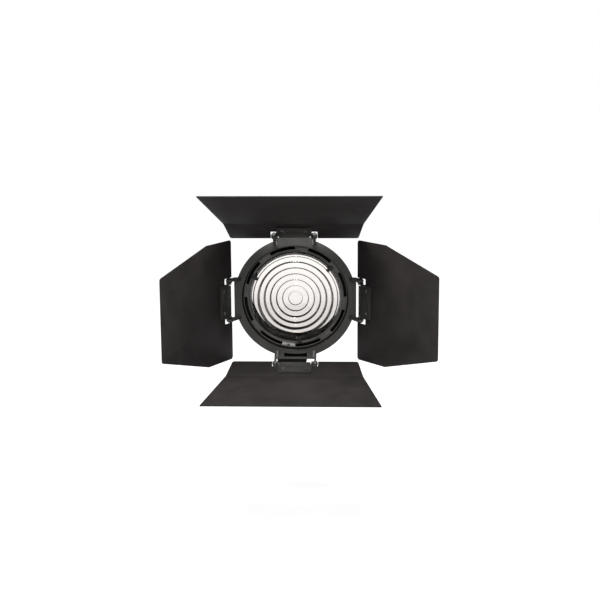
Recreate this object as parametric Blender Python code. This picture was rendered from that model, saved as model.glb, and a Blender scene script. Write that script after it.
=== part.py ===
"""Fresnel lens unit with a rotating four-leaf barn door, modelled as separate pieces.

Frame: metres, +Z up, the beam leaves along -Y, and +X is to the right for someone
who stands in the beam and looks back at the lens. The origin is the centre of the
rear mounting plane. Sizes below are in millimetres, and "forward" means along -Y.
"""
import math

import bmesh
import bpy
from mathutils import Matrix, Vector

MM = 0.001
GAP = 0.3             # clearance between pieces that touch

# rear mount
FLANGE_R = 78.0
FLANGE_THICK = 5.0
THROAT_R = 48.5       # open throat that the light source shines through
RECESS_R = 60.0       # seat of the bayonet ring in the rear of the flange
RECESS_DEPTH = 2.5
CLAW_R = 49.8
CLAW_REACH = 11.0     # how far the claws stand out behind the mounting plane
CLAW_SPAN = math.radians(38)

# barrel, zoom ring and sliding lens housing
BARREL_R = 76.9
BARREL_BORE_R = 74.3
BARREL_FRONT = 47.0
STOP_RING_FRONT = 46.0
STOP_RING_THICK = 4.0
STOP_RING_R = 81.5
ZOOM_BORE_R = 77.6
ZOOM_R = 80.2
ZOOM_REAR = 9.0
ZOOM_FRONT = 41.5
GRIP_R = 83.4
ZOOM_TURN = math.radians(100)
ZOOM_TRAVEL = 20.0
PIN_R = 2.5
PIN_REST = 16.0       # forward position of the follower pins with the lens drawn back
PIN_ANGLES = [math.radians(a) for a in (90, 210, 330)]
CARRIAGE_R = 73.6
CARRIAGE_BORE_R = 70.5
CARRIAGE_REAR = 12.0

# lens cell
CELL_REAR = 50.0
CELL_BACK_THICK = 3.0
CELL_FLANGE_R = 91.5
CELL_R = 88.0
CELL_BORE_R = 86.1
CELL_FRONT = 69.0
LENS_R = 80.0
LENS_DROP = 3.0       # the glass rests on the lower side of its roomy seat
ZONE_OUT_R = 72.6     # the steps end where the bezel covers the rim at the bottom
LENS_BACK = 54.0
LENS_BASE_THICK = 4.0
LENS_FOCUS = 160.0
GLASS_INDEX = 1.52
ZONE_CENTRE_R = 11.0
ZONE_WIDTH = 9.65
BEZEL_R = 85.7
BEZEL_BORE_R = 76.0
BEZEL_FRONT = 64.0
BEZEL_THICK = 2.5
VENT_COUNT = 8
VENT_FIRST = math.radians(15)
VENT_SPAN = math.radians(29.5)
VENT_IN_R = 79.4
VENT_OUT_R = 85.3

# rotating door ring
RING_FRONT = 74.0
RING_THICK = 3.0
RING_R = 100.0
RING_BORE_R = 87.5
LUG_HALF = 34.4       # half width of each square lug
COLLAR_R = 95.0
COLLAR_BORE_R = 88.8
COLLAR_WALL_R = 92.2  # inside of the rear wall that runs over the cell's flange
RETAINER_THICK = 3.0

# ring lock, under the ring at the bottom
LOCK_X = -4.0
LOCK_FORWARD = 61.0
LEVER_TOP = 103.4
LEVER_BOTTOM = 112.5
LEVER_LEFT = 27.0     # lengths to either side of the stud
LEVER_RIGHT = 23.0
BLOCK_HALF = 20.0
BLOCK_TOP = 95.4
WINDOW_R = 94.0       # the window in the ring plate above the lock
WINDOW_EDGE = 99.4
BOTTOM_LUG_R = 102.8   # the bottom lug is longer, to leave a bar below the window
WINDOW_HALF = math.radians(12.4)
LOCK_SCREW_X = 22.3
LOCK_SCREW_Z = 94.6

# hinges, the same on all four sides
PIVOT_RADIAL = 106.0
PIVOT_FORWARD = 18.0  # ahead of the ring's front face
EAR_THICK = 3.0
EAR_END_R = 6.0
EAR_FOOT = 88.5
PIVOT_R = 2.0
LEAF_EAR_IN = 28.7
LEAF_EAR_THICK = 1.8

# leaves; lengths are measured outward from the hinge axis
SHEET = 1.2
LEAF_START = -5.5
NOTCH_IN = 28.0
NOTCH_OUT = 37.6
NOTCH_END = 14.0
NOTCH_END_BOTTOM = 8.5
TAB_START = 4.0       # the tongue between the notches stops short of the pivots
CORNER_R = 4.5
SIDE_HALF = 99.0
SIDE_SHOULDER = 60.8
SIDE_TIP_HALF = 65.7
SIDE_TIP = 180.3
TOP_HALF = 103.4
TOP_BEND = 37.0
TOP_BEND_HALF = 111.6
TOP_TIP_HALF = 138.9
TOP_TIP = 139.0       # length past the bend
TOP_BEND_ANGLE = math.radians(16.2)
BRACKET_START = 3.5
BRACKET_LIP = -1.0    # the middle of the bracket reaches in between the pivot nuts
BRACKET_LIP_HALF = 25.0
BRACKET_END = 28.5
BRACKET_EAR_END = 8.0
BRACKET_THICK = 1.6
BRACKET_SCREW = 18.0
BRACKET_SCREW_HALF = 18.5

# each side: turn about the beam axis from the right-hand side, and the leaf's tilt,
# 0 when it lies straight outward and 90 when it points straight forward
SIDES = {
    "right": (0, 49.0),
    "top": (90, 48.2),
    "left": (180, 59.9),
    "bottom": (270, 70.2),
}

SEGMENTS = 40
LENS_SEGMENTS = 32
FINE_SEGMENTS = 64
SCREW_SEGMENTS = 8

COLOURS = {
    "black_sheet": ((0.016, 0.014, 0.015), 0.48, 0.0),
    "black_casting": ((0.030, 0.030, 0.031), 0.55, 0.0),
    "black_moulding": ((0.022, 0.022, 0.023), 0.50, 0.0),
    "black_rubber": ((0.012, 0.012, 0.012), 0.85, 0.0),
    "black_screw": ((0.03, 0.03, 0.03), 0.35, 1.0),
    "bright_steel": ((0.55, 0.54, 0.52), 0.35, 1.0),
    "anodised": ((0.025, 0.025, 0.027), 0.42, 1.0),
    "clear_glass": ((0.92, 0.96, 0.95), 0.02, 0.0),
}

# takes an outline drawn across the beam, extruded forward, to world space
AXIAL_FORWARD = Matrix(((1, 0, 0, 0), (0, 0, -1, 0), (0, 1, 0, 0), (0, 0, 0, 1)))


def remove_everything():
    for item in list(bpy.data.objects):
        bpy.data.objects.remove(item, do_unlink=True)


def material(name):
    found = bpy.data.materials.get(name)
    if found:
        return found
    colour, roughness, metallic = COLOURS[name]
    made = bpy.data.materials.new(name)
    made.use_nodes = True
    shader = made.node_tree.nodes["Principled BSDF"]
    shader.inputs["Base Color"].default_value = (*colour, 1.0)
    shader.inputs["Roughness"].default_value = roughness
    shader.inputs["Metallic"].default_value = metallic
    if name == "clear_glass":
        shader.inputs["Transmission Weight"].default_value = 1.0
        shader.inputs["IOR"].default_value = GLASS_INDEX
    made.diffuse_color = (*colour, 1.0)
    return made


def new_object(name, bm, slot, matrix=None):
    """Turn millimetre geometry into a named object in metres."""
    if matrix:
        bmesh.ops.transform(bm, matrix=matrix, verts=bm.verts)
    bmesh.ops.scale(bm, vec=(MM, MM, MM), verts=bm.verts)
    bmesh.ops.recalc_face_normals(bm, faces=bm.faces)
    mesh = bpy.data.meshes.new(name)
    bm.to_mesh(mesh)
    bm.free()
    mesh.shade_smooth()
    mesh.set_sharp_from_angle(angle=math.radians(35))
    made = bpy.data.objects.new(name, mesh)
    bpy.context.scene.collection.objects.link(made)
    made.data.materials.append(material(slot))
    return made


def move_origin(piece, point):
    """Put the object's origin on its joint's axis without moving its surface."""
    offset = Vector(point) * MM
    piece.data.transform(Matrix.Translation(-offset))
    piece.location = offset


def boolean(piece, tool_mesh, operation, name):
    tool = new_object(name, tool_mesh, "black_moulding")
    tool.hide_render = True
    tool.display_type = "WIRE"
    step = piece.modifiers.new(name, "BOOLEAN")
    step.operation = operation
    step.solver = "EXACT"
    step.object = tool


def revolve(bm, profile, segments=SEGMENTS, start=0.0, span=math.tau):
    """Turn a closed (radius, forward) outline about the beam axis."""
    full = abs(span - math.tau) < 1e-9
    steps = segments if full else segments + 1
    loops = []
    for i in range(steps):
        angle = start + span * i / segments
        turn = [math.cos(angle), math.sin(angle)]
        loops.append([bm.verts.new((r * turn[0], -t, r * turn[1])) for r, t in profile])
    count = len(profile)
    for i in range(segments):
        here, there = loops[i], loops[(i + 1) % steps]
        for k in range(count):
            bm.faces.new((here[k], here[(k + 1) % count], there[(k + 1) % count], there[k]))
    if not full:
        bm.faces.new(loops[0])
        bm.faces.new(loops[-1])


def rectangle(r0, r1, t0, t1):
    return [(r0, t0), (r1, t0), (r1, t1), (r0, t1)]


def slab(bm, outer, holes, low, high, matrix=None):
    """Extrude a flat outline with holes from low to high along local Z."""
    part = bmesh.new()
    edges = []
    for outline in [outer] + holes:
        verts = [part.verts.new((x, y, low)) for x, y in outline]
        edges += [part.edges.new((v, verts[(i + 1) % len(verts)])) for i, v in enumerate(verts)]
    bmesh.ops.triangle_fill(part, edges=edges, use_beauty=True, use_dissolve=False)
    grown = bmesh.ops.extrude_face_region(part, geom=list(part.faces))
    lifted = [item for item in grown["geom"] if isinstance(item, bmesh.types.BMVert)]
    bmesh.ops.translate(part, verts=lifted, vec=(0, 0, high - low))
    if matrix:
        bmesh.ops.transform(part, matrix=matrix, verts=part.verts)
    copy_into(bm, part)
    part.free()


def copy_into(bm, part):
    links = {v: bm.verts.new(v.co) for v in part.verts}
    for face in part.faces:
        bm.faces.new([links[v] for v in face.verts])


def circle(x, y, r, segments=12, start=0.0):
    angles = [start + math.tau * i / segments for i in range(segments)]
    return [(x + r * math.cos(a), y + r * math.sin(a)) for a in angles]


def arc(x, y, r, a0, a1, steps):
    angles = [a0 + (a1 - a0) * i / steps for i in range(steps + 1)]
    return [(x + r * math.cos(a), y + r * math.sin(a)) for a in angles]


def rod(bm, profile, matrix, segments=SCREW_SEGMENTS):
    """Turn an open (radius, height) outline about local Z and close both ends."""
    part = bmesh.new()
    loops = []
    for r, z in profile:
        loops.append([part.verts.new((x, y, z)) for x, y in circle(0, 0, r, segments)])
    for lower, upper in zip(loops, loops[1:]):
        for i in range(segments):
            j = (i + 1) % segments
            part.faces.new((lower[i], lower[j], upper[j], upper[i]))
    part.faces.new(loops[0])
    part.faces.new(loops[-1])
    bmesh.ops.transform(part, matrix=matrix, verts=part.verts)
    copy_into(bm, part)
    part.free()


def facing(point, direction):
    """Matrix that takes local +Z to a direction and the origin to a point."""
    turn = Vector((0, 0, 1)).rotation_difference(Vector(direction).normalized())
    return Matrix.Translation(point) @ turn.to_matrix().to_4x4()


def polar(r, angle, forward):
    return Vector((r * math.cos(angle), -forward, r * math.sin(angle)))


def spaced(count, first=0.0):
    return [math.radians(first) + math.tau * i / count for i in range(count)]


def screws(name, places, direction, shank_r, shank, head_r, head, slot):
    """Screws whose heads sit on the given points and whose shanks run the other way."""
    profile = [(shank_r, -shank), (shank_r, GAP), (head_r, GAP), (head_r * 0.8, GAP + head)]
    for i, place in enumerate(places):
        bm = bmesh.new()
        rod(bm, profile, facing(place, direction))
        new_object(f"{name}_{i + 1}" if len(places) > 1 else name, bm, slot)


def rods(places, direction, r, low, high, segments=SCREW_SEGMENTS):
    bm = bmesh.new()
    for place in places:
        rod(bm, [(r, low), (r, high)], facing(place, direction), segments)
    return bm


def revolved(name, profile, slot, segments=SEGMENTS):
    bm = bmesh.new()
    revolve(bm, profile, segments)
    return new_object(name, bm, slot)


# ---------------------------------------------------------------- rear mount

BAYONET_SCREWS = [polar(55.5, a, 0) for a in spaced(3, 32)]
BARREL_SCREWS = [polar(67.0, a, 0) for a in spaced(4, 45)]
BACKWARD = Vector((0, 1, 0))
FORWARD = Vector((0, -1, 0))


def mount_flange():
    outline = [
        (THROAT_R, RECESS_DEPTH), (RECESS_R, RECESS_DEPTH), (RECESS_R, 0.0),
        (FLANGE_R - 1, 0.0), (FLANGE_R, 1.0), (FLANGE_R, FLANGE_THICK), (THROAT_R, FLANGE_THICK),
    ]
    flange = revolved("mount_flange", outline, "black_casting")
    holes = rods(BAYONET_SCREWS, BACKWARD, 1.9, -8, 8)
    wells = rods(BARREL_SCREWS, BACKWARD, 2.0, -8, 8)
    boolean(flange, holes, "DIFFERENCE", "bayonet_screw_holes")
    boolean(flange, wells, "DIFFERENCE", "barrel_screw_holes")
    boolean(flange, rods(BARREL_SCREWS, BACKWARD, 3.8, -2.4, 3), "DIFFERENCE", "barrel_screw_wells")


def bayonet_ring():
    """Flat ring with three claws whose lips turn outward behind the mounting plane."""
    ring = revolved("bayonet_ring", rectangle(CLAW_R - 2.5, RECESS_R - GAP, 0.1, RECESS_DEPTH - GAP),
                    "bright_steel")
    claws = bmesh.new()
    hook = [
        (CLAW_R - 2.4, 1.0), (CLAW_R, 1.0), (CLAW_R, 3.0 - CLAW_REACH), (CLAW_R + 4.5, 3.0 - CLAW_REACH),
        (CLAW_R + 4.5, 0.5 - CLAW_REACH), (CLAW_R - 2.4, 0.5 - CLAW_REACH),
    ]
    for middle in spaced(3, 90):
        revolve(claws, hook, 5, middle - CLAW_SPAN / 2, CLAW_SPAN)
    boolean(ring, claws, "UNION", "bayonet_claws")
    boolean(ring, rods(BAYONET_SCREWS, BACKWARD, 2.0, -8, 8), "DIFFERENCE", "bayonet_ring_holes")


def rear_screws():
    screws("bayonet_screw", BAYONET_SCREWS, BACKWARD, 1.5, 4.5, 2.9, 1.6, "bright_steel")
    sunk = [p - BACKWARD * 2.4 for p in BARREL_SCREWS]
    screws("barrel_screw", sunk, BACKWARD, 1.6, 5.4, 3.0, 1.5, "black_screw")


# ------------------------------------------------------- barrel and zoom ring

def long_hole(r0, r1, angle, low, high, half):
    """Radial cutter with round ends, along the beam."""
    points = arc(high, 0, half, -math.pi / 2, math.pi / 2, 5)
    points += arc(low, 0, half, math.pi / 2, math.pi * 1.5, 5)
    bm = bmesh.new()
    along = Matrix(((0, -1, 0, 0), (-1, 0, 0, 0), (0, 0, 1, 0), (0, 0, 0, 1)))
    turn = Matrix.Rotation(math.pi / 2 - angle, 4, "Y")
    slab(bm, points, [], r0, r1, turn @ along)
    return bm


def barrel():
    outline = [
        (52.0, FLANGE_THICK + GAP), (BARREL_R, FLANGE_THICK + GAP), (BARREL_R, BARREL_FRONT),
        (BARREL_BORE_R, BARREL_FRONT), (BARREL_BORE_R, 8.3), (52.0, 8.3),
    ]
    tube = revolved("barrel", outline, "black_casting")
    slots = bmesh.new()
    for angle in PIN_ANGLES:
        part = long_hole(70, 90, angle, PIN_REST, PIN_REST + ZOOM_TRAVEL, PIN_R + 0.5)
        copy_into(slots, part)
        part.free()
    boolean(tube, slots, "DIFFERENCE", "barrel_slots")
    boolean(tube, rods(BARREL_SCREWS, BACKWARD, 2.0, -12, 0), "DIFFERENCE", "barrel_wall_holes")


def barrel_stop_ring():
    rear = STOP_RING_FRONT - STOP_RING_THICK
    outline = rectangle(BARREL_R + 0.5, STOP_RING_R, rear, STOP_RING_FRONT)
    ring = revolved("barrel_stop_ring", outline, "anodised")
    middle = STOP_RING_FRONT - STOP_RING_THICK / 2
    holes = bmesh.new()
    for angle in spaced(3, 30):
        outward = polar(1, angle, 0)
        rod(holes, [(1.5, 70), (1.5, 90)], facing(Vector((0, -middle, 0)), outward), 8)
    boolean(ring, holes, "DIFFERENCE", "stop_ring_holes")


def zoom_ring():
    """Ring with three helical cam slots that drive the follower pins."""
    ring = revolved("zoom_ring", rectangle(ZOOM_BORE_R, ZOOM_R, ZOOM_REAR, ZOOM_FRONT), "anodised")
    cams = bmesh.new()
    steps = 12
    half = PIN_R + 0.6
    overrun = half / ZOOM_R
    for angle in PIN_ANGLES:
        loops = []
        for i in range(steps + 1):
            back = -overrun + (ZOOM_TURN + 2 * overrun) * i / steps
            middle = PIN_REST + ZOOM_TRAVEL * min(max(back / ZOOM_TURN, 0.0), 1.0)
            corners = rectangle(70, 90, middle - half, middle + half)
            loops.append([cams.verts.new(polar(r, angle - back, t)) for r, t in corners])
        for here, there in zip(loops, loops[1:]):
            for k in range(4):
                j = (k + 1) % 4
                cams.faces.new((here[k], here[j], there[j], there[k]))
        cams.faces.new(loops[0])
        cams.faces.new(loops[-1])
    boolean(ring, cams, "DIFFERENCE", "cam_slots")


def zoom_grip():
    """Rubber sleeve with ribs along the beam."""
    bm = bmesh.new()
    ribs = 40
    inner, rear, front = ZOOM_R + GAP, ZOOM_REAR + 1.5, ZOOM_FRONT - 2.0
    loops = []
    for i in range(ribs * 2):
        angle = math.tau * i / (ribs * 2)
        r = GRIP_R if i % 2 else GRIP_R - 1.2
        corners = rectangle(inner, r, rear, front)
        loops.append([bm.verts.new(polar(q, angle, t)) for q, t in corners])
    for i, here in enumerate(loops):
        there = loops[(i + 1) % len(loops)]
        for k in range(4):
            j = (k + 1) % 4
            bm.faces.new((here[k], here[j], there[j], there[k]))
    new_object("zoom_grip", bm, "black_rubber")


# ------------------------------------------------------------------ lens cell

def lens_housing():
    """Cell round the lens, with the flange that the door ring turns on."""
    cell_floor = CELL_REAR + CELL_BACK_THICK
    outline = [
        (CARRIAGE_BORE_R, CELL_REAR), (CELL_FLANGE_R, CELL_REAR), (CELL_FLANGE_R, cell_floor),
        (CELL_R, cell_floor), (CELL_R, CELL_FRONT), (CELL_BORE_R, CELL_FRONT),
        (CELL_BORE_R, cell_floor), (CARRIAGE_BORE_R, cell_floor),
    ]
    revolved("lens_housing", outline, "black_casting")


def carriage_tube():
    """Tube that slides in the barrel, with three follower pins in its wall."""
    outline = rectangle(CARRIAGE_BORE_R, CARRIAGE_R, CARRIAGE_REAR, CELL_REAR - GAP)
    tube = revolved("carriage_tube", outline, "black_casting")
    middle = Vector((0, -PIN_REST, 0))
    holes = bmesh.new()
    for i, angle in enumerate(PIN_ANGLES):
        outward = facing(middle, polar(1, angle, 0))
        rod(holes, [(PIN_R + GAP + 0.1, 60), (PIN_R + GAP + 0.1, 80)], outward, 12)
        pin = bmesh.new()
        rod(pin, [(PIN_R, CARRIAGE_BORE_R + 0.2), (PIN_R, ZOOM_R - 0.4)], outward, 12)
        new_object(f"follower_pin_{i + 1}", pin, "bright_steel")
    boolean(tube, holes, "DIFFERENCE", "follower_pin_holes")


def facet_slope(r):
    """Slope that sends light from the focus straight ahead after the glass."""
    sine = math.sin(math.atan(r / LENS_FOCUS))
    return sine / (math.sqrt(GLASS_INDEX ** 2 - sine ** 2) - 1)


def fresnel_profile(steps_per_zone):
    """Front outline of the stepped lens, from its rim to its centre."""
    edges = [0.0, ZONE_CENTRE_R]
    while edges[-1] + ZONE_WIDTH < ZONE_OUT_R:
        edges.append(edges[-1] + ZONE_WIDTH)
    edges.append(ZONE_OUT_R)
    points = [(LENS_R, LENS_BACK), (LENS_R, LENS_BACK + LENS_BASE_THICK)]
    for inner, outer in reversed(list(zip(edges, edges[1:]))):
        height = LENS_BASE_THICK
        r = outer
        points.append((outer, LENS_BACK + height))
        for i in range(1, steps_per_zone + 1):
            next_r = outer + (inner - outer) * i / steps_per_zone
            height += (r - next_r) * facet_slope((r + next_r) / 2)
            r = next_r
            points.append((r, LENS_BACK + height))
    return points


def fresnel_lens():
    profile = fresnel_profile(1)
    bm = bmesh.new()
    loops = []
    for r, t in profile[:-1]:
        loops.append([bm.verts.new((x, -t, z)) for x, z in circle(0, 0, r, LENS_SEGMENTS)])
    for here, there in zip(loops, loops[1:]):
        for i in range(LENS_SEGMENTS):
            j = (i + 1) % LENS_SEGMENTS
            bm.faces.new((here[i], here[j], there[j], there[i]))
    tip = bm.verts.new((0, -profile[-1][1], 0))
    for i in range(LENS_SEGMENTS):
        bm.faces.new((loops[-1][i], loops[-1][(i + 1) % LENS_SEGMENTS], tip))
    bm.faces.new(loops[0])
    new_object("fresnel_lens", bm, "clear_glass", Matrix.Translation((0, 0, -LENS_DROP)))


BEZEL_SCREWS = [polar(82.4, math.radians(a), BEZEL_FRONT) for a in (81.5, 171.5, 351.5)]
CLIP_ANGLES = [math.radians(a) for a in (40, 154, 275)]
BRIGHT_CLIP = math.radians(261.5)


def lens_bezel():
    """Front plate of the cell with curved vents round the lens."""
    rear = BEZEL_FRONT - BEZEL_THICK
    lens_rim = LENS_BACK + LENS_BASE_THICK + GAP
    outline = [
        (BEZEL_BORE_R, lens_rim), (BEZEL_BORE_R + 2, lens_rim), (BEZEL_BORE_R + 2, rear),
        (BEZEL_R, rear), (BEZEL_R, BEZEL_FRONT), (BEZEL_BORE_R, BEZEL_FRONT),
    ]
    bezel = revolved("lens_bezel", outline, "black_moulding")
    vents = bmesh.new()
    for i in range(VENT_COUNT):
        middle = VENT_FIRST + math.tau * i / VENT_COUNT
        cutter = rectangle(VENT_IN_R, VENT_OUT_R - 0.8, rear - 1, BEZEL_FRONT + 1)
        revolve(vents, cutter, 4, middle - VENT_SPAN / 2, VENT_SPAN)
    boolean(bezel, vents, "DIFFERENCE", "bezel_vents")
    places = BEZEL_SCREWS + [polar(82.4, BRIGHT_CLIP, BEZEL_FRONT)]
    boolean(bezel, rods(places, FORWARD, 1.6, -6, 3), "DIFFERENCE", "bezel_screw_holes")


def lens_fasteners():
    screws("bezel_screw", BEZEL_SCREWS, FORWARD, 1.2, 4.5, 2.3, 1.2, "black_screw")
    front = BEZEL_FRONT
    hook = [
        (67.5, front + 1.8), (76.6, front + 1.8), (76.6, front + GAP), (79.0, front + GAP),
        (79.0, front + 3.2), (67.5, front + 3.2),
    ]
    for i, angle in enumerate(CLIP_ANGLES):
        bm = bmesh.new()
        revolve(bm, hook, 1, angle - math.radians(2.4), math.radians(4.8))
        new_object(f"lens_clip_{i + 1}", bm, "black_sheet")
    bm = bmesh.new()
    span = math.radians(15)
    revolve(bm, rectangle(78.2, 84.8, front + GAP, front + 1.5), 4, BRIGHT_CLIP - span / 2, span)
    clip = new_object("bezel_clip", bm, "bright_steel")
    place = [polar(81.6, BRIGHT_CLIP, front + 1.5)]
    boolean(clip, rods(place, FORWARD, 1.6, -4, 4), "DIFFERENCE", "bezel_clip_hole")
    screws("bezel_clip_screw", place, FORWARD, 1.2, 1.4, 2.4, 1.2, "black_screw")
    seat = rectangle(71.0, LENS_R, CELL_REAR + CELL_BACK_THICK + GAP, LENS_BACK - GAP)
    revolved("lens_gasket", seat, "black_rubber")


# ------------------------------------------------------------------ door ring

COLLAR_SCREWS = [polar(93.4, a, 0) for a in spaced(8, 22.5)]
RETAINER_SCREWS = [polar(93.6, a, 0) for a in spaced(6, 0)]


def ring_outline():
    """Circle with a square lug on each of its four sides."""
    lug_turn = math.asin(LUG_HALF / RING_R)
    points = []
    for quarter in range(4):
        base = quarter * math.pi / 2
        along = Vector((math.cos(base), math.sin(base)))
        across = Vector((-math.sin(base), math.cos(base)))
        reach = BOTTOM_LUG_R if quarter == 3 else RING_R
        for side in (-1, 1):
            points.append(tuple(along * reach + across * side * LUG_HALF))
        points += arc(0, 0, RING_R, base + lug_turn, base + math.pi / 2 - lug_turn, 10)
    return points


def ear_outline():
    """Hinge ear seen along its pivot: (radial, ahead of the ring's front face)."""
    points = [(EAR_FOOT, -RING_THICK / 2), (RING_R, -RING_THICK / 2)]
    points += arc(PIVOT_RADIAL, PIVOT_FORWARD, EAR_END_R, math.radians(-25), math.radians(145), 8)
    points.append((EAR_FOOT, 0.5))
    return points


def hinge_frame(turn):
    """Plane of an ear: local X radial, local Y forward, local Z along the pivot."""
    base = Matrix(((1, 0, 0, 0), (0, -1, 0, -RING_FRONT), (0, 0, -1, 0), (0, 0, 0, 1)))
    return Matrix.Rotation(-math.radians(turn), 4, "Y") @ base


def door_ring_plate():
    bm = bmesh.new()
    bore = circle(0, 0, RING_BORE_R, FINE_SEGMENTS)
    slab(bm, ring_outline(), [bore], RING_FRONT - RING_THICK, RING_FRONT, AXIAL_FORWARD)
    plate = new_object("door_ring_plate", bm, "black_casting")
    ears = bmesh.new()
    hole = [circle(PIVOT_RADIAL, PIVOT_FORWARD, PIVOT_R + 0.35, 12)]
    foot = [(EAR_FOOT, -1.5), (98.0, -1.5), (98.0, 8.0), (EAR_FOOT, 0.5)]
    for turn, _ in SIDES.values():
        for side in (-1, 1):
            edges = sorted((side * (LUG_HALF - EAR_THICK), side * LUG_HALF))
            slab(ears, ear_outline(), hole, edges[0], edges[1], hinge_frame(turn))
    boolean(plate, ears, "UNION", "hinge_ears")
    feet = bmesh.new()
    for turn, _ in SIDES.values():
        for side in (-1, 1):
            edges = sorted((side * LEAF_EAR_IN, side * (LUG_HALF - EAR_THICK / 2)))
            slab(feet, foot, [], edges[0], edges[1], hinge_frame(turn))
    boolean(plate, feet, "UNION", "hinge_ear_feet")
    boolean(plate, rods(COLLAR_SCREWS, FORWARD, 1.6, RING_FRONT - 10, RING_FRONT - 1),
            "DIFFERENCE", "collar_screw_holes")
    window = arc(0, 0, WINDOW_R, -math.pi / 2 - WINDOW_HALF, -math.pi / 2 + WINDOW_HALF, 6)
    window += [(window[-1][0], -WINDOW_EDGE), (window[0][0], -WINDOW_EDGE)]
    cutter = bmesh.new()
    slab(cutter, window, [], RING_FRONT - RING_THICK - 1, RING_FRONT + 1, AXIAL_FORWARD)
    boolean(plate, cutter, "DIFFERENCE", "lock_window")
    place = [Vector((LOCK_SCREW_X, -RING_FRONT, -LOCK_SCREW_Z))]
    boolean(plate, rods(place, FORWARD, 1.5, -5, 2), "DIFFERENCE", "lock_screw_hole")
    screws("lock_guide_screw", place, FORWARD, 1.1, RING_THICK - GAP, 2.1, 1.2, "black_screw")


def guide_collar():
    """Turned collar that runs round the lens cell, with a rear wall over the cell's flange."""
    front = RING_FRONT - RING_THICK - GAP
    step = CELL_REAR + CELL_BACK_THICK + 0.4
    rear = CELL_REAR - 0.4
    outline = [
        (COLLAR_BORE_R, step), (COLLAR_WALL_R, step), (COLLAR_WALL_R, rear), (COLLAR_R, rear),
        (COLLAR_R, front), (COLLAR_BORE_R, front),
    ]
    collar = revolved("guide_collar", outline, "anodised")
    lock = Vector((LOCK_X, -LOCK_FORWARD, 0))
    stud_hole = bmesh.new()
    rod(stud_hole, [(3.4, 80), (3.4, 100)], facing(lock, (0, 0, -1)), 12)
    boolean(collar, stud_hole, "DIFFERENCE", "lock_stud_hole")


def ring_retainer():
    """Flat ring behind the cell's flange that keeps the door ring on."""
    front = CELL_REAR - 0.7
    outline = rectangle(84.0, COLLAR_R, front - RETAINER_THICK, front)
    ring = revolved("ring_retainer", outline, "black_casting")
    places = [p + FORWARD * (front - RETAINER_THICK) for p in RETAINER_SCREWS]
    boolean(ring, rods(places, BACKWARD, 1.3, -8, 2, 8), "DIFFERENCE", "retainer_holes")


def ring_lock():
    """Thumb lever under the ring whose stud clamps the collar to the lens cell."""
    bm = bmesh.new()
    place = Vector((LOCK_X, -LOCK_FORWARD, 0))
    rod(bm, [(2.6, CELL_R + 0.5), (2.6, LEVER_TOP - GAP)], facing(place, (0, 0, -1)), 12)
    new_object("ring_lock_stud", bm, "bright_steel")
    bm = bmesh.new()
    underside = Matrix(((1, 0, 0, 0), (0, 1, 0, 0), (0, 0, -1, 0), (0, 0, 0, 1)))
    block = [(-BLOCK_HALF, -69.0), (BLOCK_HALF, -69.0), (BLOCK_HALF, -57.0), (-BLOCK_HALF, -57.0)]
    block = rounded(block, [2.0] * 4)
    hole = circle(LOCK_X, -LOCK_FORWARD, 3.2)
    slab(bm, block, [hole], BLOCK_TOP, LEVER_TOP - 0.5, underside)
    new_object("lock_block", bm, "black_moulding")
    bm = bmesh.new()
    outline = [
        (-LEVER_LEFT, LEVER_TOP), (LEVER_RIGHT, LEVER_TOP), (LEVER_RIGHT - 0.6, LEVER_BOTTOM - 4.5),
        (LEVER_RIGHT - 3.6, LEVER_BOTTOM), (1 - LEVER_LEFT, LEVER_BOTTOM),
    ]
    slab(bm, [(x + LOCK_X, z) for x, z in outline], [], LOCK_FORWARD - 5, LOCK_FORWARD + 5,
         Matrix(((1, 0, 0, 0), (0, 0, -1, 0), (0, -1, 0, 0), (0, 0, 0, 1))))
    lever = new_object("ring_lock_lever", bm, "black_moulding")
    move_origin(lever, (LOCK_X, -LOCK_FORWARD, -LEVER_TOP))


# --------------------------------------------------------------------- leaves

def rounded(points, radii, steps=3):
    """Round the corners of an outline; a radius of 0 keeps a corner sharp."""
    result = []
    count = len(points)
    for i, (point, radius) in enumerate(zip(points, radii)):
        if radius <= 0:
            result.append(point)
            continue
        here = Vector(point)
        back = (Vector(points[i - 1]) - here).normalized()
        ahead = (Vector(points[(i + 1) % count]) - here).normalized()
        half = back.angle(ahead) / 2
        reach = radius / math.tan(half)
        centre = here + (back + ahead).normalized() * (radius / math.sin(half))
        start = here + back * reach - centre
        turn = (here + ahead * reach - centre)
        total = start.angle_signed(turn)
        for k in range(steps + 1):
            a = -total * k / steps
            c, s = math.cos(a), math.sin(a)
            result.append(tuple(centre + Vector((start.x * c - start.y * s, start.x * s + start.y * c))))
    return result


def notch_points(end):
    """Inner edge of a leaf with a slot beside the hinge on each side."""
    right = [(NOTCH_OUT, LEAF_START), (NOTCH_OUT, end), (NOTCH_IN, end), (NOTCH_IN, TAB_START)]
    left = [(-x, v) for x, v in reversed(right)]
    return left, right


def side_leaf_outline():
    left, right = notch_points(NOTCH_END)
    corners = [(SIDE_HALF, LEAF_START), (SIDE_HALF, SIDE_SHOULDER), (SIDE_TIP_HALF, SIDE_TIP)]
    mirror = [(-x, v) for x, v in reversed(corners)]
    points = right[::-1] + corners + mirror + left[::-1]
    radii = [0, 1.5, 1.5, 1.5] + [CORNER_R, 0, CORNER_R] + [CORNER_R, 0, CORNER_R] + [1.5, 1.5, 1.5, 0]
    return rounded(points, radii)


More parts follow.
